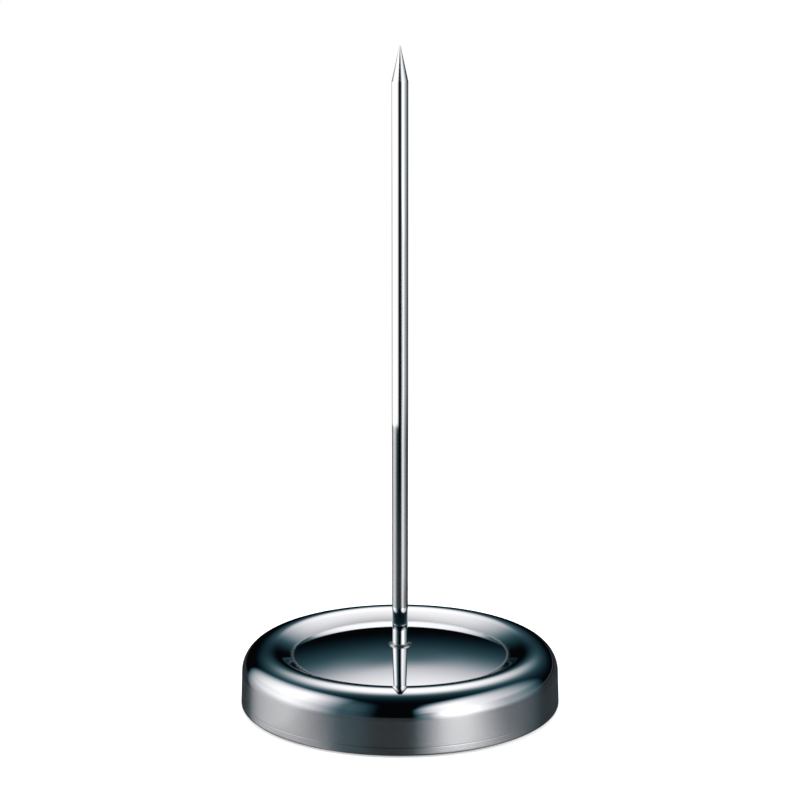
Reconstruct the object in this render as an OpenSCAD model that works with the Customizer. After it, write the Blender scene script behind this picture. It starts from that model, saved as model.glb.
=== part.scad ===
// Bill spike: a pointed steel rod on a weighted round base of drawn sheet steel.
// Millimetres. The origin is the middle of the underside, and +Z runs up the spike.

/* [Base shell] */
// Outside diameter at the foot, over the rolled rim
base_d = 80; // [70:0.5:100]
// Height of the crest above the lower edge of the rim
base_h = 14.8; // [13:0.1:20]
// Thickness of the sheet
sheet_t = 0.7; // [0.5:0.05:1]
// Lean of the wall, which widens towards the foot, in degrees
wall_lean = 2; // [0:0.5:4]
// Radius of the rounded crest, from the wall over to the slope of the dish
crest_r = 6.3; // [5:0.1:7.5]
// Slope of the dish from the crest down to the crease, in degrees
slope_a = 28; // [22:1:36]
// Depth of the crease below the crest
dish_depth = 2.5; // [1.5:0.1:3]
// Rise of the dome from the crease to its seat in the middle
dome_rise = 2.4; // [1:0.1:2.8]
// Radius pressed into the crease
crease_r = 0.8; // [0.3:0.1:1.2]

/* [Spike] */
// Diameter of the rod
rod_d = 4; // [3.6:0.1:5]
// Height of the rod from the collar to its point
rod_h = 148.1; // [100:0.1:200]
// Length of the ground point
point_h = 8.5; // [6:0.5:14]
// Diameter left at the very end of the point
point_d = 0.3; // [0.1:0.05:0.5]
// Diameter of the shank below the rod
shank_d = 3; // [2.5:0.1:3.2]
// Length of shank that shows below the nut
shank_end = 0.8; // [0.3:0.1:1]

/* [Collar] */
// Diameter of the collar
collar_d = 5.8; // [5.2:0.1:8]
// Thickness of the collar
collar_t = 0.4; // [0.2:0.05:1.2]

/* [Weight] */
// Gap between the weight and the rolled rim that it goes in through
weight_gap = 0.3; // [0.2:0.1:1]
// Gap between the top of the weight and the underside of the crease
weight_top_gap = 0.3; // [0.2:0.1:0.8]
// Bevel round the upper edge of the weight
weight_bevel = 2.4; // [2.2:0.1:3]
// Width of the sloping side of the boss under the seat
boss_flare = 3; // [1:0.5:6]
// Diameter of the recess for the nut
recess_d = 12; // [11:0.5:20]

/* [Fasteners] */
// Outside diameter of the flat washer
washer_d = 7; // [6.5:0.5:9]
// Thickness of the flat washer
washer_t = 0.5; // [0.4:0.1:0.8]
// Outside diameter of the spring washer
spring_d = 6.2; // [5.6:0.1:7]
// Thickness of the spring washer
spring_t = 0.8; // [0.6:0.1:1]
// Width of the slit in the spring washer
spring_slit = 0.5; // [0.3:0.1:0.8]
// Slant of that slit
spring_slant = 25; // [10:5:40]
// Width of the nut across its flats
nut_flats = 5.5; // [5.4:0.1:7]
// Height of the nut
nut_h = 2.4; // [1.8:0.1:3]

/* [Foot pad] */
// Thickness of the pad
pad_t = 1.6; // [1:0.1:2]
// How far the pad stands out below the rim
pad_proud = 0.2; // [0.1:0.1:0.8]
// Gap between the pad and the rolled rim
pad_gap = 1; // [0.5:0.1:4]
// Bevel round the lower edge of the pad
pad_bevel = 0.3; // [0.1:0.05:0.4]

/* [Fits] */
// Clearance on the diameter of every hole that the shank goes through
shank_clear = 0.2; // [0.1:0.05:0.4]
// Clearance on the diameter in the nut
thread_clear = 0.06; // [0.02:0.02:0.1]
// Space between the end of the shank and the pad
end_clear = 0.5; // [0.3:0.1:1]
// How far the seat pressed in the dome reaches past the collar
seat_margin = 0.4; // [0.2:0.1:1]

/* [Hidden] */
$fn = 96;
steel = [0.78, 0.80, 0.82];
iron = [0.24, 0.24, 0.25];
zinc = [0.66, 0.67, 0.66];
rubber = [0.09, 0.09, 0.10];
// How far a cut runs past the faces that it opens
cut = 1;
// How far an arc runs into the line that it joins, so that the two cross and don't only touch
graze = 0.003;

// Levels, from the table up
hem_r = sheet_t;
rim_z = pad_proud;
hem_z = rim_z + hem_r;
crest_z = rim_z + base_h;
crease_z = crest_z - dish_depth;
seat_z = crease_z + dome_rise;
collar_z = seat_z + collar_t;
weight_z = pad_t;
nut_z = weight_z + end_clear + shank_end;
spring_z = nut_z + nut_h;
washer_z = spring_z + spring_t;
recess_z = washer_z + washer_t;
shank_z = nut_z - shank_end;

// Radii of the shell
hem_c = [base_d / 2 - hem_r, hem_z];
hem_inner_r = base_d / 2 - 2 * hem_r;
seat_r = collar_d / 2 + seat_margin;
hole_d = shank_d + shank_clear;

// Wall: the line that touches the crest arc and the rolled rim
wall_out = [cos(wall_lean), sin(wall_lean)];

// Slope of the dish: the line that leaves the crest arc and ends in the crease
slope_dir = [cos(slope_a), sin(slope_a)];
slope_up = [-sin(slope_a), cos(slope_a)];
crest_c = [
    hem_c[0] - (crest_r - hem_r + (crest_z - crest_r - hem_z) * sin(wall_lean)) / cos(wall_lean),
    crest_z - crest_r
];
slope_top = crest_c + crest_r * slope_up;
dish_r = slope_top[0] - (slope_top[1] - crease_z) / tan(slope_a);

// Radius and middle of the dome's sphere, which passes through the crease and the seat's edge
dome_r = (dish_r * dish_r - seat_r * seat_r + dome_rise * dome_rise) / (2 * dome_rise);
dome_c = [0, seat_z - sqrt(dome_r * dome_r - seat_r * seat_r)];

// Middle of the crease arc: crease_r above the slope and above the dome
crease_line = [dish_r, crease_z] + crease_r * slope_up - dome_c;
crease_half = crease_line * slope_dir;
crease_reach = dome_r + crease_r;
crease_run = -crease_half
    + sqrt(crease_half * crease_half - crease_line * crease_line + crease_reach * crease_reach);
crease_c = dome_c + crease_line + crease_run * slope_dir;
crease_down = (dome_c - crease_c) / crease_reach;
crease_floor_z = crease_c[1] - crease_r - sheet_t;

// Radii of the weight and of the pad
weight_r = hem_inner_r - weight_gap;
weight_top_z = crease_floor_z - weight_top_gap;
boss_z = seat_z - sheet_t;
pad_r = hem_inner_r - pad_gap;

// Ring or disc: a rectangle turned about the axis
module turned_ring(outer_r, inner_r, low_z, high_z) {
    rotate_extrude()
        translate([inner_r, low_z])
            square([outer_r - inner_r, high_z - low_z]);
}

// Everything that lies under a surface set in by inset from the outside of the shell
module shell_outline(inset) {
    arc_r = crest_r - inset;
    bend_r = crease_r + inset;
    wall_top = crest_c + (arc_r - graze) * wall_out;
    foot_r = wall_top[0] + (wall_top[1] - hem_z) * tan(wall_lean);
    bend_slope = crease_c - (bend_r + graze) * slope_up;
    bend_dome = crease_c + bend_r * crease_down;
    bend_end = 2 * bend_dome - bend_slope;
    difference() {
        union() {
            polygon([
                [0, hem_z],
                [foot_r, hem_z],
                wall_top,
                [0, wall_top[1]]
            ]);
            translate(crest_c)
                circle(arc_r);
            polygon([
                crest_c,
                crest_c + (arc_r - graze) * slope_up,
                bend_slope,
                bend_end,
                [bend_end[0], hem_z],
                [crest_c[0], hem_z]
            ]);
            intersection() {
                translate(dome_c)
                    circle(dome_r - inset);
                translate([0, hem_z])
                    square([dish_r, seat_z - inset - hem_z]);
            }
        }
        translate(crease_c)
            circle(bend_r + 2 * graze);
    }
}

// Drawn sheet-steel base with a rolled rim
module base_shell() {
    color(steel)
        rotate_extrude() {
            intersection() {
                difference() {
                    shell_outline(0);
                    shell_outline(sheet_t);
                }
                translate([hole_d / 2, hem_z])
                    square([base_d / 2, base_h]);
            }
            translate(hem_c)
                circle(hem_r);
        }
}

// Rod with a ground point and a thinner shank
module spike() {
    color(steel)
        rotate_extrude()
            polygon([
                [0, shank_z],
                [shank_d / 2, shank_z],
                [shank_d / 2, collar_z],
                [rod_d / 2, collar_z],
                [rod_d / 2, collar_z + rod_h - point_h],
                [point_d / 2, collar_z + rod_h],
                [0, collar_z + rod_h]
            ]);
}

// Thin seat ring under the rod
module spike_collar() {
    color(steel)
        turned_ring(collar_d / 2, hole_d / 2, seat_z, collar_z);
}

// Cast weight with a boss under the seat and a recess for the nut
module ballast() {
    color(iron)
        rotate_extrude()
            polygon([
                [recess_d / 2, weight_z],
                [weight_r, weight_z],
                [weight_r, weight_top_z - weight_bevel],
                [weight_r - weight_bevel, weight_top_z],
                [seat_r + boss_flare, weight_top_z],
                [seat_r, boss_z],
                [hole_d / 2, boss_z],
                [hole_d / 2, recess_z],
                [recess_d / 2, recess_z]
            ]);
}

// Plain washer under the weight
module flat_washer() {
    color(zinc)
        turned_ring(washer_d / 2, hole_d / 2, washer_z, recess_z);
}

// Split washer, pressed flat
module spring_washer() {
    color(zinc)
        difference() {
            turned_ring(spring_d / 2, hole_d / 2, spring_z, washer_z);
            translate([0, 0, (spring_z + washer_z) / 2])
                rotate([spring_slant, 0, 0])
                    translate([0, -spring_slit / 2, -spring_t])
                        cube([spring_d, spring_slit, 2 * spring_t]);
        }
}

// Hexagon nut with bevelled corners
module hex_nut() {
    corner_r = nut_flats / 2 / cos(30);
    bevel_r = corner_r - nut_flats / 2;
    bevel_h = bevel_r * tan(30);
    color(zinc)
        difference() {
            intersection() {
                translate([0, 0, nut_z])
                    cylinder(h = nut_h, r = corner_r, $fn = 6);
                rotate_extrude()
                    polygon([
                        [0, nut_z],
                        [nut_flats / 2, nut_z],
                        [corner_r, nut_z + bevel_h],
                        [corner_r, spring_z - bevel_h],
                        [nut_flats / 2, spring_z],
                        [0, spring_z]
                    ]);
            }
            translate([0, 0, nut_z - cut])
                cylinder(h = nut_h + 2 * cut, d = shank_d + thread_clear);
        }
}

// Rubber disc under the weight
module foot_pad() {
    color(rubber)
        rotate_extrude()
            polygon([
                [0, 0],
                [pad_r - pad_bevel, 0],
                [pad_r, pad_bevel],
                [pad_r, pad_t],
                [0, pad_t]
            ]);
}

base_shell();
spike();
spike_collar();
ballast();
flat_washer();
spring_washer();
hex_nut();
foot_pad();
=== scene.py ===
import math

import bpy
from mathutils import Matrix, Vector


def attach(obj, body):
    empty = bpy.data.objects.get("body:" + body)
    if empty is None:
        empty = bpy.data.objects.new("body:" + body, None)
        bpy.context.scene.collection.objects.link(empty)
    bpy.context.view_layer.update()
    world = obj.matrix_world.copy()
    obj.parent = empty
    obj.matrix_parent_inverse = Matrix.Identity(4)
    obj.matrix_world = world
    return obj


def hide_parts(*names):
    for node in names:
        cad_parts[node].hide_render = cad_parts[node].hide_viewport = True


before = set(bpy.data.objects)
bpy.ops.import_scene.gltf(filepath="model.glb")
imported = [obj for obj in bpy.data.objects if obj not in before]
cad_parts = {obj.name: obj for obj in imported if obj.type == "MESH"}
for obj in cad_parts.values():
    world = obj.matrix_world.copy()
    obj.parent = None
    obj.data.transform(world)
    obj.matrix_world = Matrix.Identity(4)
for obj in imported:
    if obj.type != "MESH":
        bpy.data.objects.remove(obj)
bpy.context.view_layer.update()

MM = 0.001

# Sizes of the base in millimetres: radii from the spike's axis, heights above the table
BASE_R = 40.0
SHEET_T = 0.7
RIM_Z = 0.2
WALL_LEAN = math.radians(2)
CREST_Z = 15.0
CREST_R = 6.3
CREASE_R = 27.13
CREASE_Z = 12.5
CREASE_BEND = 0.45
SLOPE_START = math.radians(25)
SEAT_Z = 14.9
SEAT_R = 3.3
HOLE_R = 1.6

# Faint line that the rolled rim leaves in the wall
HEM_LINE_Z = 2.3
HEM_LINE_HALF = 0.12
HEM_LINE_EDGE = 0.2
HEM_LINE_DEPTH = 0.03

# Spike and collar
ROD_R = 2.0
FOOT_BEVEL = 0.15
SHANK_R = 1.5
SHANK_Z = 2.1
SHANK_BEVEL = 0.2
POINT_Z = 154.9
TIP_Z = 163.39
TIP_R = 0.15
TIP_ROUND = 0.06
COLLAR_R = 2.9
COLLAR_Z = 15.3
COLLAR_LIP = 0.12
LIP_GAP = 0.02

# Points of the collar's upper edge: how far in from its rim and how far below its lip
COLLAR_EDGE = ((0.45, 0.06), (0.5, 0.02), (0.57, 0.0))

# Foot pad and the rings in its underside
PAD_R = 37.6
PAD_T = 1.6
PAD_ROUND = 0.3
RING_RADII = (12.0, 20.0, 28.0)
RING_DEPTH = 0.35
RING_TOP_HALF = 0.5
RING_FOOT_HALF = 0.9

# Shares of a straight stretch at which its section has points
WALL_STOPS = (0.02, 0.08, 0.25, 0.5, 0.75, 0.92, 1)
WALL_BACK_STOPS = (0.1, 0.5, 0.9)
ROD_STOPS = (0, 0.002, 0.01, 0.1, 0.3, 0.5, 0.7, 0.9, 0.99, 0.998, 1)
POINT_STOPS = (0.02, 0.1, 0.3, 0.5, 0.7, 0.9, 0.97)
COLLAR_STOPS = (0, 0.1, 0.5, 0.9, 1)

# Steps round the axis, and steps in each arc of a section
BASE_STEPS = 256
SPIKE_STEPS = 128
PAD_STEPS = 192
DOME_STEPS = 36
BEND_STEPS = 14
SLOPE_STEPS = 16
CREST_STEPS = 60
ROLL_STEPS = 64
PAD_ROUND_STEPS = 6


# Modelling by turning a section about the spike

def point_on(centre, radius, angle):
    return (centre[0] + radius * math.cos(angle), centre[1] + radius * math.sin(angle))


def angle_to(start, end):
    return math.atan2(end[1] - start[1], end[0] - start[0])


def arc(centre, radius, start, end, steps):
    """Points on a round stretch of a section, both ends included."""
    turn = (end - start) / steps
    return [point_on(centre, radius, start + turn * i) for i in range(steps + 1)]


def line(start, end, stops):
    """Points on a straight stretch at the given shares of its length."""
    across, up = end[0] - start[0], end[1] - start[1]
    return [(start[0] + across * stop, start[1] + up * stop) for stop in stops]


def meet(first, first_r, second, second_r):
    """Point nearer the spike where two circles of the section cross."""
    span = math.dist(first, second)
    along = (span ** 2 + first_r ** 2 - second_r ** 2) / (2 * span)
    lean = math.acos(along / first_r)
    return point_on(first, first_r, angle_to(first, second) - lean)


def turned(name, section, steps, smooth_below=20):
    """Draws a section in millimetres by extruding one vertex along it, and spins it about the
    spike. Edges stay sharp where they bend by more than smooth_below degrees."""
    bpy.ops.object.select_all(action="DESELECT")
    bpy.ops.mesh.primitive_plane_add(size=MM)
    piece = bpy.context.object
    piece.name = piece.data.name = name
    bpy.ops.object.mode_set(mode="EDIT")
    bpy.ops.mesh.select_all(action="SELECT")
    bpy.ops.mesh.merge(type="CENTER")
    bpy.ops.transform.translate(value=(section[0][0] * MM, 0, section[0][1] * MM))
    for here, there in zip(section, section[1:]):
        step = ((there[0] - here[0]) * MM, 0, (there[1] - here[1]) * MM)
        bpy.ops.mesh.extrude_region_move(TRANSFORM_OT_translate={"value": step})
    bpy.ops.mesh.select_all(action="SELECT")
    bpy.ops.mesh.spin(steps=steps, angle=math.tau, center=(0, 0, 0), axis=(0, 0, 1))
    bpy.ops.mesh.select_all(action="SELECT")
    bpy.ops.mesh.remove_doubles(threshold=0.001 * MM)
    bpy.ops.mesh.normals_make_consistent(inside=False)
    bpy.ops.object.mode_set(mode="OBJECT")
    bpy.ops.object.shade_smooth_by_angle(angle=math.radians(smooth_below))
    return piece


# Middles of the rolled rim and of the crest's arc, which the leaning wall touches
HEM = (BASE_R - SHEET_T, RIM_Z + SHEET_T)
CREST_DROP = CREST_Z - CREST_R - HEM[1]
CREST_IN = (CREST_R - SHEET_T + CREST_DROP * math.sin(WALL_LEAN)) / math.cos(WALL_LEAN)
CREST = (HEM[0] - CREST_IN, CREST_Z - CREST_R)


def shell_surface(inset):
    """Upper surface of the drawn sheet from the seat out to the top of the wall, set in by inset:
    a low dome, the bend of the crease, a gently rounded slope and the crest."""
    rise = SEAT_Z - CREASE_Z
    dome_r = (CREASE_R ** 2 - SEAT_R ** 2 + rise ** 2) / (2 * rise)
    dome = (0.0, SEAT_Z - math.sqrt(dome_r ** 2 - SEAT_R ** 2))

    # The slope's arc carries on from the crest's arc and ends in the crease
    slope_angle = SLOPE_START + math.pi / 2
    to_crease = (CREASE_R - CREST[0], CREASE_Z - CREST[1])
    toward = to_crease[0] * math.cos(slope_angle) + to_crease[1] * math.sin(slope_angle)
    more = (to_crease[0] ** 2 + to_crease[1] ** 2 - CREST_R ** 2) / (2 * (CREST_R - toward))
    slope_r = CREST_R + more
    slope = point_on(CREST, -more, slope_angle)

    # The crease's bend lies on the dome and on the slope
    bend = meet(slope, slope_r + CREASE_BEND, dome, dome_r + CREASE_BEND)
    dome_end, slope_end = angle_to(dome, bend), angle_to(slope, bend)
    dome_part = arc(dome, dome_r - inset, math.acos(SEAT_R / dome_r), dome_end, DOME_STEPS)
    bend_part = arc(
        bend, CREASE_BEND + inset, dome_end - math.pi, slope_end - math.pi, BEND_STEPS)
    slope_part = arc(slope, slope_r - inset, slope_end, slope_angle, SLOPE_STEPS)
    crest_part = arc(CREST, CREST_R - inset, slope_angle, WALL_LEAN, CREST_STEPS)
    seat = [(HOLE_R, SEAT_Z - inset)]
    return seat + dome_part + bend_part[1:] + slope_part[1:] + crest_part[1:]


def base_shell_piece():
    """Drawn base: dome, dish, crest, wall and rolled rim in one skin with its real thickness."""
    outside, inside = shell_surface(0), shell_surface(SHEET_T)
    roll = arc(HEM, SHEET_T, WALL_LEAN, WALL_LEAN - 1.5 * math.pi, ROLL_STEPS)
    wall_top, wall_foot = outside[-1], roll[0]

    def wall_at(height, inset=0.0):
        share = (height - wall_top[1]) / (wall_foot[1] - wall_top[1])
        return (wall_top[0] + (wall_foot[0] - wall_top[0]) * share - inset, height)

    wall = line(wall_top, wall_at(HEM_LINE_Z + HEM_LINE_EDGE), WALL_STOPS)
    hem_line = [
        wall_at(HEM_LINE_Z + HEM_LINE_HALF),
        wall_at(HEM_LINE_Z, HEM_LINE_DEPTH),
        wall_at(HEM_LINE_Z - HEM_LINE_HALF),
        wall_at(HEM_LINE_Z - HEM_LINE_EDGE),
    ]
    back_up = line(roll[-1], inside[-1], WALL_BACK_STOPS)
    section = outside + wall + hem_line + roll + back_up + inside[::-1] + [outside[0]]
    return turned("polished_base", section, BASE_STEPS)


def spike_piece():
    """Drawn wire with a ground point, a shoulder and a shank."""
    point_end = (TIP_R, TIP_Z - TIP_ROUND)
    section = [
        (0, SHANK_Z),
        (SHANK_R - SHANK_BEVEL, SHANK_Z),
        (SHANK_R, SHANK_Z + SHANK_BEVEL),
        (SHANK_R, COLLAR_Z),
        (ROD_R - FOOT_BEVEL, COLLAR_Z),
    ]
    section += line((ROD_R, COLLAR_Z + FOOT_BEVEL), (ROD_R, POINT_Z), ROD_STOPS)
    section += line((ROD_R, POINT_Z), point_end, POINT_STOPS)
    section += [point_end, (TIP_R * 0.6, TIP_Z - TIP_ROUND / 6), (0, TIP_Z)]
    return turned("polished_spike", section, SPIKE_STEPS, smooth_below=8)


def collar_piece():
    """Thin seat ring with a sloping edge and a low lip round the foot of the rod."""
    top, lip_r = COLLAR_Z + COLLAR_LIP, ROD_R + LIP_GAP
    edge = [(COLLAR_R - inward, top - down) for inward, down in COLLAR_EDGE]
    section = [(HOLE_R, SEAT_Z)] + line((COLLAR_R, SEAT_Z), edge[0], COLLAR_STOPS) + edge[1:]
    section += [
        (lip_r, top),
        (lip_r, COLLAR_Z),
        (HOLE_R, COLLAR_Z),
        (HOLE_R, SEAT_Z),
    ]
    return turned("polished_collar", section, SPIKE_STEPS)


def foot_pad_piece():
    """Moulded rubber disc: rounded lower edge and shallow rings that grip the table."""
    edge_r = PAD_R - PAD_ROUND
    section = [(0, 0)]
    for ring_r in RING_RADII:
        section += [
            (ring_r - RING_FOOT_HALF, 0),
            (ring_r - RING_TOP_HALF, RING_DEPTH),
            (ring_r + RING_TOP_HALF, RING_DEPTH),
            (ring_r + RING_FOOT_HALF, 0),
        ]
    edge = arc((edge_r, PAD_ROUND), PAD_ROUND, -math.pi / 2, 0, PAD_ROUND_STEPS)
    section += [(edge_r, 0)] + edge[1:] + [(PAD_R, PAD_T), (0, PAD_T)]
    return turned("grip_pad", section, PAD_STEPS)


# Building blocks for the materials

class Graph:
    """Places and joins nodes in one node tree."""

    def __init__(self, tree):
        self.tree = tree
        tree.nodes.clear()

    def add(self, kind, values=None, **settings):
        node = self.tree.nodes.new(kind)
        for key, value in settings.items():
            setattr(node, key, value)
        for key, value in (values or {}).items():
            if isinstance(value, bpy.types.NodeSocket):
                self.tree.links.new(value, node.inputs[key])
            else:
                node.inputs[key].default_value = value
        return node

    def math(self, operation, first, second=0.0):
        return self.add("ShaderNodeMath", {0: first, 1: second}, operation=operation).outputs[0]

    def plus(self, first, *others):
        for other in others:
            first = self.math("ADD", first, other)
        return first

    def minus(self, first, second):
        return self.math("SUBTRACT", first, second)

    def times(self, first, *others):
        for other in others:
            first = self.math("MULTIPLY", first, other)
        return first

    def fade(self, value, low, high, to_low=0.0, to_high=1.0):
        """Soft step from to_low at low to to_high at high, where high may lie below low."""
        inputs = {0: value, 1: low, 2: high, 3: to_low, 4: to_high}
        node = self.add("ShaderNodeMapRange", inputs, interpolation_type="SMOOTHSTEP")
        return node.outputs[0]

    def fade_turn(self, value, low, high, *ends):
        """Soft step over an angle, with its limits in degrees."""
        return self.fade(value, math.radians(low), math.radians(high), *ends)

    def blend(self, share, first, second):
        inputs = {0: share, 2: first, 3: second}
        return self.add("ShaderNodeMix", inputs, data_type="FLOAT").outputs[0]

    def blend_color(self, share, first, second):
        inputs = {0: share, 6: first, 7: second}
        return self.add("ShaderNodeMix", inputs, data_type="RGBA").outputs[2]

    def place(self):
        return self.add("ShaderNodeTexCoord").outputs["Object"]

    def axes(self, vector):
        return self.add("ShaderNodeSeparateXYZ", {0: vector}).outputs

    def length(self, vector):
        return self.add("ShaderNodeVectorMath", {0: vector}, operation="LENGTH").outputs["Value"]

    def noise(self, **inputs):
        return self.add("ShaderNodeTexNoise", inputs).outputs[0]

    def join(self, output, socket):
        self.tree.links.new(output, socket)


def new_material(name):
    material = bpy.data.materials.new(name)
    material.use_nodes = True
    return material, Graph(material.node_tree)


def add_output(graph, shader):
    graph.add("ShaderNodeOutputMaterial", {"Surface": shader.outputs[0]})


def new_group(name, inputs, outputs, socket_type="NodeSocketFloat"):
    """Node group with plain numbers going in and outputs of the given type."""
    group = bpy.data.node_groups.new(name, "ShaderNodeTree")
    for label in inputs:
        group.interface.new_socket(label, in_out="INPUT", socket_type="NodeSocketFloat")
    for label in outputs:
        group.interface.new_socket(label, in_out="OUTPUT", socket_type=socket_type)
    graph = Graph(group)
    return group, graph, graph.add("NodeGroupInput").outputs


# Materials of the object

# Stretch of the scratches along the three axes, the turn that lays them askew, and the levels of
# the noise between which smears and scratches come up
SCRATCH_SCALE = (2600.0, 160.0, 900.0)
SCRATCH_TURN = (0.3, 0.5, 0.9)
SCRATCHES_FROM = (0.66, 0.74)
SMEARS_FROM = (0.45, 0.75)


def polish_marks_group():
    """Fine rings left by polishing, finger smears and faint scratches on turned steel."""
    labels = ("Rings", "Smears", "Scratches")
    group, graph, given = new_group("polish_marks", ("Ring Scale", "Smear"), labels)
    place = graph.place()
    x, y, z = graph.axes(place)
    from_axis = graph.length(graph.add("ShaderNodeCombineXYZ", {0: x, 1: y}).outputs[0])
    ring_at = graph.times(graph.minus(from_axis, z), given["Ring Scale"])
    ring_inputs = {"W": ring_at, "Scale": 1.0, "Detail": 4.0, "Roughness": 0.7}
    rings = graph.add("ShaderNodeTexNoise", ring_inputs, noise_dimensions="1D").outputs[0]
    smears = graph.noise(Vector=place, Scale=55.0, Detail=5.0, Roughness=0.55)
    smear = graph.times(graph.fade(smears, *SMEARS_FROM), given["Smear"])
    stretch = {"Vector": place, "Rotation": SCRATCH_TURN, "Scale": SCRATCH_SCALE}
    stretched = graph.add("ShaderNodeMapping", stretch).outputs[0]
    scratches = graph.noise(Vector=stretched, Scale=1.0, Detail=2.0)
    scratch = graph.fade(scratches, *SCRATCHES_FROM)
    out = graph.add("NodeGroupOutput")
    for label, value in zip(labels, (rings, smear, scratch)):
        graph.join(value, out.inputs[label])
    return group


POLISH_MARKS = polish_marks_group()


def polish_marks(graph, ring_scale, smear):
    values = {"Ring Scale": ring_scale, "Smear": smear}
    return graph.add("ShaderNodeGroup", values, node_tree=POLISH_MARKS).outputs


def height_in_mm(graph):
    return graph.times(graph.axes(graph.place())[2], 1.0 / MM)


def reach_in_mm(graph):
    """Distance from the spike's axis."""
    flat = graph.add("ShaderNodeVectorMath", {0: graph.place(), 1: (1, 1, 0)}, operation="MULTIPLY")
    return graph.times(graph.length(flat.outputs[0]), 1.0 / MM)


# Depth of the marks that polishing leaves, in metres
MARK_DEPTH = 0.00002

# Base: heights in millimetres between which the satin wall turns into the mirror of the crest,
# and how far from the crease and above what height its bend is duller
WALL_SATIN = (9.6, 8.2)
CREASE_NEAR = (0.7, 0.3)
CREASE_ABOVE = (12.0, 12.2)
MIRROR_ROUGH = 0.03
SMEAR_ROUGH = 0.03
CREASE_ROUGH = 0.2
SATIN_ROUGH = 0.12
SATIN_LINES = 0.16
SCRATCH_SHARE = 0.03
BASE_TONES = ((0.855, 0.86, 0.885, 1), (0.925, 0.925, 0.95, 1))
# Dark tone and share of the painted shade in the groove of the hem line
GROOVE_SHADE_TONE = (0.10, 0.11, 0.12, 1)
GROOVE_SHADE_SHARE = 0.35


def base_steel():
    """Mirror-polished on top, with a satin wall whose fine lines run round it, and painted shade
    darkening the groove of the hem line.
    """
    material, graph = new_material("polished_base_steel")
    marks = polish_marks(graph, ring_scale=9000.0, smear=1.0)
    rings = marks["Rings"]
    height = height_in_mm(graph)

    satin = graph.fade(height, *WALL_SATIN)
    from_crease = graph.math("ABSOLUTE", graph.minus(reach_in_mm(graph), CREASE_R))
    crease = graph.times(graph.fade(from_crease, *CREASE_NEAR), graph.fade(height, *CREASE_ABOVE))
    smears = graph.times(marks["Smears"], SMEAR_ROUGH)
    mirror_rough = graph.plus(smears, graph.times(crease, CREASE_ROUGH), MIRROR_ROUGH)
    satin_rough = graph.plus(graph.times(rings, SATIN_LINES), SATIN_ROUGH)

    # Painted shade: a band round the groove of the hem line is blended towards a dark tone
    above = graph.fade(height, HEM_LINE_Z + HEM_LINE_EDGE, HEM_LINE_Z)
    below = graph.fade(height, HEM_LINE_Z - HEM_LINE_EDGE, HEM_LINE_Z)
    groove_shade = graph.times(above, below, GROOVE_SHADE_SHARE)
    tone = graph.blend_color(groove_shade, graph.blend_color(rings, *BASE_TONES), GROOVE_SHADE_TONE)

    scratches = graph.times(marks["Scratches"], SCRATCH_SHARE)
    relief = graph.plus(graph.times(rings, satin), scratches)
    bump = graph.add("ShaderNodeBump", {"Height": relief, "Strength": 0.12, "Distance": MARK_DEPTH})
    add_output(graph, graph.add("ShaderNodeBsdfPrincipled", {
        "Base Color": tone,
        "Roughness": graph.blend(satin, mirror_rough, satin_rough),
        "Metallic": 1.0,
        "Normal": bump.outputs[0],
    }))
    return material


# Spike: heights between which the drawn wire turns into the ground point
POINT_GROUND = (POINT_Z - 0.2, POINT_Z + 0.3)
ROD_SMEAR_ROUGH = 0.04
GROUND_ROUGH = 0.1
GROUND_LINES = 0.15
SPIKE_TONES = ((0.88, 0.88, 0.88, 1), (0.93, 0.93, 0.935, 1))


def spike_steel(name, least_rough):
    """Bright drawn wire; the point is ground and a little duller."""
    material, graph = new_material(name)
    marks = polish_marks(graph, ring_scale=7000.0, smear=0.8)
    rings = marks["Rings"]
    ground = graph.fade(height_in_mm(graph), *POINT_GROUND)
    bright_rough = graph.plus(graph.times(marks["Smears"], ROD_SMEAR_ROUGH), least_rough)
    ground_rough = graph.plus(graph.times(rings, GROUND_LINES), GROUND_ROUGH)
    relief = graph.times(rings, ground)
    bump = graph.add("ShaderNodeBump", {"Height": relief, "Strength": 0.15, "Distance": MARK_DEPTH})
    add_output(graph, graph.add("ShaderNodeBsdfPrincipled", {
        "Base Color": graph.blend_color(rings, *SPIKE_TONES),
        "Roughness": graph.blend(ground, bright_rough, ground_rough),
        "Metallic": 1.0,
        "Normal": bump.outputs[0],
    }))
    return material


# Rough surfaces: middle levels of the noise, how much coarser the patches are than the grain, how
# much they dim it or lift it, and how far the roughness varies
GRAIN_MIDDLE = (0.3, 0.7)
PATCH_SIZE = 12
PATCH_GAIN = (0.6, 1.2)
ROUGH_SPREAD = 0.1


def speckled(name, dark, light, scale, roughness, metallic, depth):
    """Rough surface with a fine grain, depth in millimetres, for castings, plating and rubber."""
    material, graph = new_material(name)
    place = graph.place()
    grain = graph.noise(Vector=place, Scale=scale, Detail=6.0, Roughness=0.6)
    patches = graph.noise(Vector=place, Scale=scale / PATCH_SIZE, Detail=3.0)
    mixed = graph.times(grain, graph.fade(patches, *GRAIN_MIDDLE, *PATCH_GAIN))
    rough = (roughness - ROUGH_SPREAD, roughness + ROUGH_SPREAD)
    bump = graph.add("ShaderNodeBump", {"Height": grain, "Strength": 0.4, "Distance": depth * MM})
    add_output(graph, graph.add("ShaderNodeBsdfPrincipled", {
        "Base Color": graph.blend_color(mixed, dark + (1,), light + (1,)),
        "Roughness": graph.fade(grain, *GRAIN_MIDDLE, *rough),
        "Metallic": metallic,
        "Normal": bump.outputs[0],
    }))
    return material


# The object: finished pieces in place of their solids, and materials on the hidden solids

def dress(piece, node, material):
    """Puts a finished piece in the place of its plain solid."""
    piece.data.materials.clear()
    piece.data.materials.append(material)
    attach(piece, "root")
    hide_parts(node)


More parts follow.
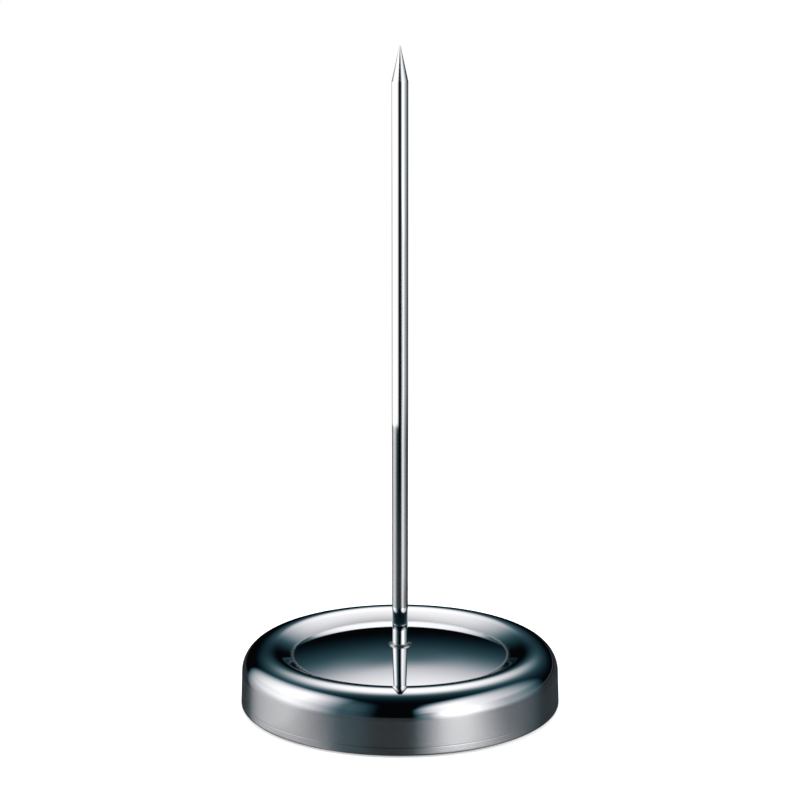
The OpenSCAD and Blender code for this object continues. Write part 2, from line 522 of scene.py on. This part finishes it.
BASE_STEEL = base_steel()
SPIKE_STEEL = spike_steel("polished_spike_steel", least_rough=0.035)
COLLAR_STEEL = spike_steel("turned_collar_steel", least_rough=0.25)
IRON = speckled("rough_cast_iron", (0.10, 0.10, 0.105), (0.34, 0.34, 0.35),
                scale=900.0, roughness=0.62, metallic=0.8, depth=0.15)
ZINC = speckled("dull_zinc", (0.50, 0.51, 0.50), (0.76, 0.77, 0.76),
                scale=2500.0, roughness=0.36, metallic=1.0, depth=0.02)
RUBBER = speckled("matte_rubber", (0.035, 0.035, 0.038), (0.075, 0.075, 0.08),
                  scale=1800.0, roughness=0.8, metallic=0.0, depth=0.05)

dress(base_shell_piece(), "base_shell", BASE_STEEL)
dress(spike_piece(), "spike", SPIKE_STEEL)
dress(collar_piece(), "spike_collar", COLLAR_STEEL)
dress(foot_pad_piece(), "foot_pad", RUBBER)

HIDDEN = {"ballast": IRON, "flat_washer": ZINC, "spring_washer": ZINC, "hex_nut": ZINC}
for node, material in HIDDEN.items():
    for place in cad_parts[node].material_slots:
        place.material = material


# Studio. Cards that show in reflections only give the polished steel what it mirrors: dark walls,
# a dark table top, three soft lights and two pale leaves. Lengths are metres. An azimuth counts
# from the far side towards the right, and a turn counts from the near side towards the right.

def flat_card(name, width, height, material, location=(0, 0, 0), rotation=(0, 0, 0)):
    """Flat card whose own X and Y run over the given stretches."""
    bpy.ops.object.select_all(action="DESELECT")
    bpy.ops.mesh.primitive_plane_add(size=1)
    card = bpy.context.object
    card.name = name
    card.location = location
    card.rotation_euler = rotation
    for corner in card.data.vertices:
        corner.co.x = width[0] if corner.co.x < 0 else width[1]
        corner.co.y = height[0] if corner.co.y < 0 else height[1]
    card.data.materials.append(material)
    return card


def only_in_reflections(card):
    card.visible_camera = False
    card.visible_diffuse = False
    card.visible_shadow = False
    card.visible_volume_scatter = False


# How a fading light turns cool: the more it has faded, the less red and the more blue it has
LEAST_LEVEL = 0.0001
LESS_RED = 0.78
LESS_RED_HARDNESS = 4.5
MORE_BLUE = -0.075


def soft_light_group():
    """Colour of a soft light: white where it is full, cool where it fades."""
    group, graph, given = new_group("soft_light", ("Level", "Cool"), ("Color",), "NodeSocketColor")
    level, cool = given["Level"], given["Cool"]
    tone = graph.math("MAXIMUM", graph.math("MINIMUM", level, 1.0), LEAST_LEVEL)
    faded = graph.math("POWER", graph.minus(1.0, tone), LESS_RED_HARDNESS)
    red = graph.times(level, graph.minus(1.0, graph.times(cool, faded, LESS_RED)))
    blue = graph.times(level, graph.math("POWER", tone, graph.times(cool, MORE_BLUE)))
    color = graph.add("ShaderNodeCombineColor", {0: red, 1: level, 2: blue})
    graph.join(color.outputs[0], graph.add("NodeGroupOutput").inputs["Color"])
    return group


SOFT_LIGHT = soft_light_group()


def glow(name, level_of, one_sided=False):
    """Material of a card that shines by the level and the coolness that level_of draws on its own
    coordinates. The card lets through what lies behind it."""
    material, graph = new_material(name)
    level, cool = level_of(graph, graph.place())
    color = graph.add("ShaderNodeGroup", {"Level": level, "Cool": cool}, node_tree=SOFT_LIGHT)
    strength = 1.0
    if one_sided:
        strength = graph.minus(1.0, graph.add("ShaderNodeNewGeometry").outputs["Backfacing"])
    light = graph.add("ShaderNodeEmission", {"Color": color.outputs[0], "Strength": strength})
    clear = graph.add("ShaderNodeBsdfTransparent")
    add_output(graph, graph.add("ShaderNodeAddShader", {0: light.outputs[0], 1: clear.outputs[0]}))
    return material


# Soft lights left and right: upright cards a metre away. Their own X runs along the card towards
# larger azimuths and their own Y up from the table, and the light fades over these stretches.
SIDE_LIGHT = 2.2
LEFT_AZIMUTH, LEFT_WIDTH, LEFT_HEIGHT = -115.5, (-1.25, 4.3), (-0.4, 2.05)
LEFT_TOP = (1.99, 0.67)
LEFT_FOOT = (0.25, 0.45, 0.87, 1.0)
LEFT_ENDS = ((-0.46, 0.45), (4.2, -2.65))
WING_ENDS = ((-1.18, -0.4), (0.4, -0.3))
WING_LIGHT = 0.1
RIGHT_AZIMUTH, RIGHT_WIDTH, RIGHT_HEIGHT = 115.5, (-1.75, 1.55), (-0.4, 1.85)
RIGHT_TOP = (1.81, 0.83)
RIGHT_ENDS = ((-1.7, 2.21), (1.525, 0.2))
RIGHT_SLANT = (0.8, 1.6, 0.0, 0.3)
RIGHT_LOW = (0.5, 0.25)
RIGHT_LOW_BIAS = ((-0.35, 0.42, -0.4, 0.3), (0.6, 1.05, 0.0, -0.8))


def left_level(graph, place):
    """Wide light with a faint wing towards the camera."""
    along, up, _ = graph.axes(place)
    top = graph.times(graph.fade(up, *LEFT_TOP), graph.fade(up, *LEFT_FOOT))
    ends = [graph.fade(along, *end) for end in LEFT_ENDS]
    wing_ends = [graph.fade(along, *end) for end in WING_ENDS]
    main, wing = graph.times(*ends, top, SIDE_LIGHT), graph.times(*wing_ends, top, WING_LIGHT)
    return graph.plus(main, wing), 1.0


def right_level(graph, place):
    """Narrower light whose end by the camera slants, brighter low down towards the camera."""
    along, up, _ = graph.axes(place)
    slanted = graph.plus(along, graph.fade(up, *RIGHT_SLANT))
    back, front = graph.fade(along, *RIGHT_ENDS[0]), graph.fade(slanted, *RIGHT_ENDS[1])
    main = graph.times(back, front, graph.fade(up, *RIGHT_TOP), SIDE_LIGHT)
    bias = graph.plus(*[graph.fade(along, *part) for part in RIGHT_LOW_BIAS])
    low = graph.plus(graph.times(graph.fade(up, *RIGHT_LOW), bias), 1.0)
    return graph.times(main, low), 1.0


def side_card(name, azimuth, width, height, level_of):
    turn = math.radians(azimuth)
    location = (math.sin(turn), math.cos(turn), 0)
    rotation = (math.pi / 2, 0, -turn)
    material = glow(name + "_glow", level_of)
    only_in_reflections(flat_card(name, width, height, material, location, rotation))


# Soft light behind and above, on a card a metre away that faces the object. Each patch has a width
# in degrees, a hardness, a strength and the elevations in degrees between which its foot fades.
BACK_LIFT = math.radians(53.6)
BACK_HALF = 4
BACK_SHIFT = 0.014
BACK_SKEW = 0.14
BACK_TILT = 0.217
BACK_PATCHES = ((23.5, 3.5, 0.9, 20, 34), (27.8, 2.0, 0.28, 8, 28.7))

# Dim stem in the middle of that light, over stretches aside and in rise, the sine of elevation
STEM_ASIDE = (0.14, 0.03)
STEM_RISE = ((0.36, 0.46), (0.545, 0.46))
STEM_DIM = 0.4

# The light is plain white only high up, in the middle and where it is bright
PLAIN_ASIDE = (0.45, 0.25)
PLAIN_RISE = (0.7, 0.82)
PLAIN_LEVEL = (0.15, 0.5)


def back_level(graph, place):
    """Two round patches, the wider one paler, whose feet fade out above the horizon."""
    across, down, _ = graph.axes(place)
    leaning = graph.minus(graph.minus(across, BACK_SHIFT), graph.times(down, BACK_SKEW))
    off = graph.add("ShaderNodeCombineXYZ", {0: leaning, 1: down}).outputs[0]
    angle = graph.math("ARCTANGENT", graph.length(off))
    climb = graph.minus(math.sin(BACK_LIFT), graph.times(down, math.cos(BACK_LIFT)))
    away = graph.length(place)
    reach = graph.math("SQRT", graph.plus(graph.times(away, away), 1.0))
    rise = graph.math("DIVIDE", graph.plus(climb, graph.times(across, BACK_TILT)), reach)

    def patch(width, hardness, strength, low, high):
        share = graph.math("POWER", graph.math("DIVIDE", angle, math.radians(width)), hardness)
        fall = graph.math("EXPONENT", graph.times(share, -1.0))
        foot = graph.fade(rise, math.sin(math.radians(low)), math.sin(math.radians(high)))
        return graph.times(fall, foot, strength)

    aside = graph.math("ABSOLUTE", across)
    stem_ends = [graph.fade(rise, *end) for end in STEM_RISE]
    stem = graph.times(graph.fade(aside, *STEM_ASIDE), *stem_ends, STEM_DIM)
    full = graph.plus(*[patch(*numbers) for numbers in BACK_PATCHES])
    level = graph.times(full, graph.minus(1.0, stem))
    high, middle = graph.fade(rise, *PLAIN_RISE), graph.fade(aside, *PLAIN_ASIDE)
    plain = graph.times(high, graph.fade(level, *PLAIN_LEVEL), middle)
    return level, graph.minus(1.0, plain)


def back_card():
    location = (0, math.cos(BACK_LIFT), math.sin(BACK_LIFT))
    rotation = (BACK_LIFT - math.pi / 2, 0, 0)
    stretch = (-BACK_HALF, BACK_HALF)
    material = glow("back_softbox_glow", back_level)
    only_in_reflections(flat_card("back_softbox", stretch, stretch, material, location, rotation))


# Pale leaf low on the left, with a round edge towards the object. It lies above the base, which
# therefore doesn't see its upper side. Its turn counts towards the left.
LEAF_LIGHT = 1.05
LEAF_HALF = 8
LEAF_Z = 0.03
LEAF_EDGE = (0.197, 0.203)
LEAF_END = (7.5, 5.5)
LEAF_TURN = ((11, 42), (180, 80))


def leaf_level(graph, place):
    x, y, _ = graph.axes(place)
    away = graph.length(place)
    past = graph.times(graph.fade(away, *LEAF_EDGE), graph.fade(away, *LEAF_END))
    turn = graph.math("ARCTAN2", graph.times(x, -1.0), graph.times(y, -1.0))
    span = [graph.fade_turn(turn, *end) for end in LEAF_TURN]
    return graph.times(past, *span, LEAF_LIGHT), 0.0


def pale_leaf():
    stretch = (-LEAF_HALF, LEAF_HALF)
    material = glow("pale_leaf_glow", leaf_level, one_sided=True)
    only_in_reflections(flat_card("pale_leaf", stretch, stretch, material, (0, 0, LEAF_Z)))


# Small leaf on the left that only the ground point sees: it lies edge on to the base, in a plane
# that rises from the middle of the base towards the front left.
POINT_LEAF_FROM_Z = 0.013
POINT_LEAF_RISE = 61.5
POINT_LEAF_AZIMUTH = -138
POINT_LEAF_WIDTH, POINT_LEAF_HEIGHT = (-0.045, 0.06), (0.175, 0.25)
POINT_LEAF_ENDS = ((-0.04, -0.025), (0.055, 0.035))
POINT_LEAF_ROWS = ((0.18, 0.188), (0.245, 0.237))


def point_leaf_level(graph, place):
    along, up, _ = graph.axes(place)
    ends = [graph.fade(along, *end) for end in POINT_LEAF_ENDS]
    rows = [graph.fade(up, *end) for end in POINT_LEAF_ROWS]
    return graph.times(*ends, *rows, LEAF_LIGHT), 0.0


def point_leaf():
    location = (0, 0, POINT_LEAF_FROM_Z)
    rotation = (math.radians(POINT_LEAF_RISE), 0, math.radians(-POINT_LEAF_AZIMUTH))
    material = glow("point_leaf_glow", point_leaf_level, one_sided=True)
    only_in_reflections(flat_card(
        "point_leaf", POINT_LEAF_WIDTH, POINT_LEAF_HEIGHT, material, location, rotation))


WALLS_R = 8
WALL_TONE = (0.0012, 0.0016, 0.002, 1)


def dark_walls():
    bpy.ops.object.select_all(action="DESELECT")
    bpy.ops.mesh.primitive_uv_sphere_add(radius=WALLS_R, segments=48, ring_count=24)
    walls = bpy.context.object
    walls.name = "dark_walls"
    material, graph = new_material("dark_wall_cloth")
    add_output(graph, graph.add("ShaderNodeEmission", {"Color": WALL_TONE, "Strength": 1.0}))
    walls.data.materials.append(material)
    only_in_reflections(walls)


# Dark glossy table top. The rod sees its far stretch and the wall its near stretch, and the sheen
# changes over these distances and turns.
TABLE_HALF = 12
TABLE_Z = -0.0001
SHEEN = 0.41
FAR = (0.3, 0.45)
FAR_RIGHT = ((-10, 5), (150, 100))
FAR_RIGHT_SHEEN = (30, 52, -0.31, 0.3)
NEAR = (0.13, 0.09)
NEAR_LEFT, NEAR_LEFT_DIM = ((-62, -47), (-28, -40)), 0.155
NEAR_RIGHT, NEAR_RIGHT_DIM = ((33, 59), (178, 135)), 0.246
BEHIND, BEHIND_HAZE = ((60, 95), (178, 140)), 0.07
HAZE = (0.28, 0.1, 0.0, 0.03)
HAZE_TONE = (0.85, 0.95, 1, 1)


def dark_table():
    material, graph = new_material("dark_table_gloss")
    place = graph.place()
    away = graph.length(place)
    x, y, _ = graph.axes(place)
    turn = graph.math("ARCTAN2", x, graph.times(y, -1.0))

    def sector(reach, ends, strength):
        return graph.times(reach, *[graph.fade_turn(turn, *end) for end in ends], strength)

    far, near = graph.fade(away, *FAR), graph.fade(away, *NEAR)
    far_right = sector(far, FAR_RIGHT, graph.fade_turn(turn, *FAR_RIGHT_SHEEN))
    near_left = sector(near, NEAR_LEFT, NEAR_LEFT_DIM)
    near_right = sector(near, NEAR_RIGHT, NEAR_RIGHT_DIM)
    sheen = graph.minus(graph.plus(far_right, SHEEN), graph.plus(near_left, near_right))
    haze = graph.plus(graph.fade(away, *HAZE), sector(far, BEHIND, BEHIND_HAZE))
    color = graph.add("ShaderNodeCombineColor", {0: sheen, 1: sheen, 2: sheen})
    add_output(graph, graph.add("ShaderNodeBsdfPrincipled", {
        "Base Color": color.outputs[0],
        "Roughness": 0.05,
        "Metallic": 1.0,
        "Emission Color": HAZE_TONE,
        "Emission Strength": haze,
    }))
    stretch = (-TABLE_HALF, TABLE_HALF)
    only_in_reflections(flat_card("dark_table", stretch, stretch, material, (0, 0, TABLE_Z)))


# What the camera sees around the object
WHITE = (1, 1, 1, 1)
FLOOR_HALF = 200
FLOOR_Z = -0.0002
FLOOR_TONE = (0.8, 0.8, 0.8, 1)
FLOOR_LIFT = 0.5
FLOOR_RUNS_OUT = (0.12, 0.4)
FILL_TONE = (0.9, 0.95, 1.0, 1)
FILL_STRENGTH = 0.35


def sees_background(graph):
    """1 for the rays that show the background: from the camera, in gloss and through glass."""
    path = graph.add("ShaderNodeLightPath").outputs
    kinds = graph.plus(path["Is Camera Ray"], path["Is Glossy Ray"], path["Is Transmission Ray"])
    return graph.math("MINIMUM", kinds, 1.0)


def pale_floor():
    """Pale paper that keeps the shadow near the object and runs out into plain white."""
    material, graph = new_material("pale_floor_paper")
    away = graph.length(graph.place())
    seen = sees_background(graph)
    far = graph.times(graph.fade(away, *FLOOR_RUNS_OUT), seen)
    paper = graph.add("ShaderNodeBsdfDiffuse", {"Color": FLOOR_TONE})
    lifted = graph.times(seen, FLOOR_LIFT)
    lift = graph.add("ShaderNodeEmission", {"Color": WHITE, "Strength": lifted})
    near = graph.add("ShaderNodeAddShader", {0: paper.outputs[0], 1: lift.outputs[0]})
    white = graph.add("ShaderNodeEmission", {"Color": WHITE, "Strength": 1.0})
    shaders = {0: far, 1: near.outputs[0], 2: white.outputs[0]}
    add_output(graph, graph.add("ShaderNodeMixShader", shaders))
    stretch = (-FLOOR_HALF, FLOOR_HALF)
    flat_card("pale_floor", stretch, stretch, material, (0, 0, FLOOR_Z))


def white_world():
    world = bpy.data.worlds.new("studio_world")
    bpy.context.scene.world = world
    world.use_nodes = True
    graph = Graph(world.node_tree)
    fill = graph.add("ShaderNodeBackground", {"Color": FILL_TONE, "Strength": FILL_STRENGTH})
    white = graph.add("ShaderNodeBackground", {"Color": WHITE, "Strength": 1.0})
    shaders = {0: sees_background(graph), 1: fill.outputs[0], 2: white.outputs[0]}
    both = graph.add("ShaderNodeMixShader", shaders)
    graph.add("ShaderNodeOutputWorld", {"Surface": both.outputs[0]})


LAMP_DISTANCE = 1.2
LAMP_POWER = 9


def lamp(name, azimuth, elevation, size):
    """Soft lamp that lights the floor; the cards stand for it in the steel."""
    turn, rise = math.radians(azimuth), math.radians(elevation)
    level = math.cos(rise)
    toward = Vector((math.sin(turn) * level, math.cos(turn) * level, math.sin(rise)))
    data = bpy.data.lights.new(name, "AREA")
    data.size = size
    data.energy = LAMP_POWER
    holder = bpy.data.objects.new(name, data)
    bpy.context.scene.collection.objects.link(holder)
    holder.location = toward * LAMP_DISTANCE
    holder.rotation_mode = "QUATERNION"
    holder.rotation_quaternion = (-toward).to_track_quat("-Z", "Y")
    holder.visible_glossy = False


side_card("left_softbox", LEFT_AZIMUTH, LEFT_WIDTH, LEFT_HEIGHT, left_level)
side_card("right_softbox", RIGHT_AZIMUTH, RIGHT_WIDTH, RIGHT_HEIGHT, right_level)
back_card()
pale_leaf()
point_leaf()
dark_walls()
dark_table()
pale_floor()
white_world()
lamp("left_lamp", azimuth=-100, elevation=35, size=0.9)
lamp("right_lamp", azimuth=120, elevation=35, size=0.9)
lamp("back_lamp", azimuth=0, elevation=55, size=0.8)


# Camera at the photograph's angle
SENSOR_WIDTH = 36
LENS = 93.28
CAMERA_AT = (0, -0.5, 0.1753)
LOOKS_DOWN = 11.07

camera_data = bpy.data.cameras.new("photo_camera")
camera_data.sensor_width = SENSOR_WIDTH
camera_data.lens = LENS
camera = bpy.data.objects.new("photo_camera", camera_data)
bpy.context.scene.collection.objects.link(camera)
camera.location = CAMERA_AT
camera.rotation_euler = (math.radians(90 - LOOKS_DOWN), 0, 0)
bpy.context.scene.camera = camera
bpy.context.scene.view_settings.view_transform = "Standard"
